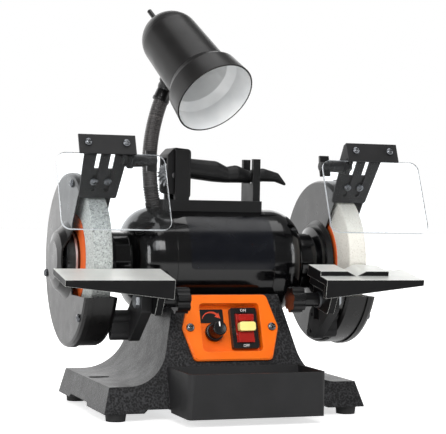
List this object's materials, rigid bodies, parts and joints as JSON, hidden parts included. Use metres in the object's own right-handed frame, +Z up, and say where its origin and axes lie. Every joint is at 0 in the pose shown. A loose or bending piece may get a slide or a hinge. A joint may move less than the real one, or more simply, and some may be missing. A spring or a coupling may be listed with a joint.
{
  "type": "bench grinder",
  "caption": "Variable-speed bench grinder: guarded grey and white wheels, clear eye shields, tilting tool rests, water tray, gooseneck lamp and wheel dresser in a cradle.",
  "frame": {"origin": "midway between the two bench slots, on the underside of the base casting; the rubber feet reach 8 mm below it", "axes": "+Z up, +X along the spindle to the right, -Y towards the user"},
  "size_m": [0.3792, 0.2393, 0.4133],
  "materials": {
    "casting_paint": "black textured paint",
    "foot_rubber": "matt",
    "zinc_sheet": "zinc plated sheet",
    "gland_rubber": "matt",
    "circuit_board": "green board with parts",
    "tray_black": "moulded black, matt",
    "panel_orange": "moulded orange, satin",
    "black_screw": "black oxide",
    "dial_black": "black plate with an arrow",
    "pot_metal": "plated",
    "knob_black": "dark moulded",
    "switch_black": "black moulded",
    "paddle_red": "red moulded",
    "key_yellow": "yellow moulded",
    "motor_black": "gloss black enamel",
    "bell_black": "gloss black enamel on cast aluminium",
    "lamination": "stacked sheet steel",
    "bright_steel": "machined",
    "flange_black": "gloss black",
    "blotter_orange": "orange paper",
    "grey_grit": "grey aluminium oxide, speckled",
    "white_grit": "white aluminium oxide",
    "guard_black": "satin black powder coat",
    "screw_zinc": "zinc plated",
    "sheet_black": "matt black powder coat",
    "clear_sheet": "clear polycarbonate",
    "wing_black": "black moulded",
    "rest_alloy": "machined top on black sides",
    "cradle_black": "black powder coat",
    "dresser_black": "black paint on cast iron",
    "cutter_steel": "hardened steel",
    "neck_black": "ribbed black sleeve",
    "shade_black": "satin black outside, white enamel inside",
    "socket_white": "glazed",
    "stem_black": "black moulded"
  },
  "bodies": {
    "frame": {"base_casting": "casting_paint", "rubber_feet": "foot_rubber", "bottom_plate": "zinc_sheet", "cord_gland": "gland_rubber", "control_board": "circuit_board", "switch_panel": "panel_orange", "panel_screws": "black_screw", "dial_plate": "dial_black", "speed_pot": "pot_metal", "switch_housing": "switch_black", "motor_can": "motor_black", "stator": "lamination", "bearings": "bright_steel", "bell_left": "bell_black", "bell_right": "bell_black", "through_bolts": "bright_steel", "guard_left": "guard_black", "guard_right": "guard_black", "guard_screws": "screw_zinc", "cover_left": "guard_black", "cover_right": "guard_black", "rest_bracket_left": "sheet_black", "rest_bracket_right": "sheet_black", "dresser_cradle": "cradle_black", "gooseneck_lower": "neck_black"},
    "spindle": {"spindle_shaft": "bright_steel", "rotor_core": "lamination", "wheel_flanges": "flange_black", "arbor_nuts": "bright_steel", "blotters": "blotter_orange", "wheel_grey": "grey_grit", "wheel_white": "white_grit"},
    "speed_control": {"speed_knob": "knob_black"},
    "rocker": {"switch_paddle": "paddle_red"},
    "key": {"safety_key": "key_yellow"},
    "tray": {"water_tray": "tray_black"},
    "spark_plate_left": {"deflector_left": "sheet_black"},
    "shield_left": {"shield_carrier_left": "sheet_black", "eye_shield_left": "clear_sheet", "shield_screws_left": "screw_zinc"},
    "wing_left": {"wing_knob_left": "wing_black"},
    "clamp_left": {"clamp_bolt_left": "screw_zinc"},
    "rest_left": {"tool_rest_left": "rest_alloy"},
    "star_left": {"star_knob_left": "wing_black"},
    "spark_plate_right": {"deflector_right": "sheet_black"},
    "shield_right": {"shield_carrier_right": "sheet_black", "eye_shield_right": "clear_sheet", "shield_screws_right": "screw_zinc"},
    "wing_right": {"wing_knob_right": "wing_black"},
    "clamp_right": {"clamp_bolt_right": "screw_zinc"},
    "rest_right": {"tool_rest_right": "rest_alloy"},
    "star_right": {"star_knob_right": "wing_black"},
    "dresser": {"dresser_body": "dresser_black", "dresser_pin": "cutter_steel"},
    "cutters": {"star_cutters": "cutter_steel"},
    "neck_middle": {"gooseneck_middle": "neck_black"},
    "neck_upper": {"gooseneck_upper": "neck_black"},
    "lamp": {"lamp_shade": "shade_black", "lamp_socket": "socket_white"},
    "lamp_knob": {"lamp_switch": "stem_black"}
  },
  "joints": [
    {"name": "spindle_spin", "type": "hinge", "parent": "frame", "child": "spindle", "pos_m": [0, 0, 0.144], "axis": [1, 0, 0], "continuous": true},
    {"name": "speed_knob_turn", "type": "hinge", "parent": "frame", "child": "speed_control", "pos_m": [-0.0155, -0.06121, 0.07426], "axis": [0, -0.9409, 0.3387], "range_deg": [-135, 135]},
    {"name": "switch_rock", "type": "hinge", "parent": "frame", "child": "rocker", "pos_m": [0.016, -0.06085, 0.07732], "axis": [-1, 0, 0], "range_deg": [0, 16]},
    {"name": "safety_key_pull", "type": "slide", "parent": "rocker", "child": "key", "axis": [0, -0.9789, 0.2045], "range_m": [0, 0.014]},
    {"name": "tray_lift", "type": "slide", "parent": "frame", "child": "tray", "axis": [0, -0.7071, 0.7071], "range_m": [0, 0.03]},
    {"name": "spark_plate_left_slide", "type": "slide", "parent": "frame", "child": "spark_plate_left", "axis": [0, -0.5878, 0.809], "range_m": [0, 0.008]},
    {"name": "shield_left_tilt", "type": "hinge", "parent": "spark_plate_left", "child": "shield_left", "pos_m": [-0.113, -0.084, 0.2435], "axis": [-1, 0, 0], "range_deg": [-15, 60]},
    {"name": "wing_left_turn", "type": "hinge", "parent": "spark_plate_left", "child": "wing_left", "pos_m": [-0.1, -0.084, 0.2435], "axis": [1, 0, 0], "range_deg": [0, 360]},
    {"name": "rest_left_tilt", "type": "hinge", "parent": "frame", "child": "clamp_left", "pos_m": [-0.098, -0.09, 0.109], "axis": [1, 0, 0], "range_deg": [-2, 25]},
    {"name": "rest_left_slide", "type": "slide", "parent": "clamp_left", "child": "rest_left", "axis": [0, -0.9848, -0.1736], "range_m": [0, 0.008]},
    {"name": "star_left_turn", "type": "hinge", "parent": "clamp_left", "child": "star_left", "pos_m": [-0.06, -0.09, 0.109], "axis": [1, 0, 0], "range_deg": [0, 360]},
    {"name": "spark_plate_right_slide", "type": "slide", "parent": "frame", "child": "spark_plate_right", "axis": [0, -0.5878, 0.809], "range_m": [0, 0.008]},
    {"name": "shield_right_tilt", "type": "hinge", "parent": "spark_plate_right", "child": "shield_right", "pos_m": [0.113, -0.084, 0.2435], "axis": [-1, 0, 0], "range_deg": [-15, 60]},
    {"name": "wing_right_turn", "type": "hinge", "parent": "spark_plate_right", "child": "wing_right", "pos_m": [0.1, -0.084, 0.2435], "axis": [1, 0, 0], "range_deg": [0, 360]},
    {"name": "rest_right_tilt", "type": "hinge", "parent": "frame", "child": "clamp_right", "pos_m": [0.098, -0.09, 0.109], "axis": [1, 0, 0], "range_deg": [-2, 25]},
    {"name": "rest_right_slide", "type": "slide", "parent": "clamp_right", "child": "rest_right", "axis": [0, -0.9848, -0.1736], "range_m": [0, 0.008]},
    {"name": "star_right_turn", "type": "hinge", "parent": "clamp_right", "child": "star_right", "pos_m": [0.06, -0.09, 0.109], "axis": [1, 0, 0], "range_deg": [0, 360]},
    {"name": "dresser_lift", "type": "slide", "parent": "frame", "child": "dresser", "axis": [0, 0, 1], "range_m": [0, 0.03]},
    {"name": "cutters_spin", "type": "hinge", "parent": "dresser", "child": "cutters", "pos_m": [-0.044, 0, 0.232], "axis": [0, 1, 0], "continuous": true},
    {"name": "neck_swing", "type": "hinge", "parent": "frame", "child": "neck_middle", "pos_m": [-0.06274, 0.004, 0.28019], "axis": [0, 1, 0], "range_deg": [-20, 20]},
    {"name": "neck_nod", "type": "hinge", "parent": "neck_middle", "child": "neck_upper", "pos_m": [-0.05694, 0.004, 0.30265], "axis": [1, 0, 0], "range_deg": [-20, 20]},
    {"name": "lamp_tilt", "type": "hinge", "parent": "neck_upper", "child": "lamp", "pos_m": [-0.04885, 0.004, 0.32333], "axis": [-0.1098, 0.6598, -0.7433], "range_deg": [-35, 45]},
    {"name": "lamp_switch_turn", "type": "hinge", "parent": "lamp", "child": "lamp_knob", "pos_m": [-0.05789, 0.01072, 0.39117], "axis": [-0.2688, 0.7003, 0.6613], "range_deg": [0, 90]}
  ]
}
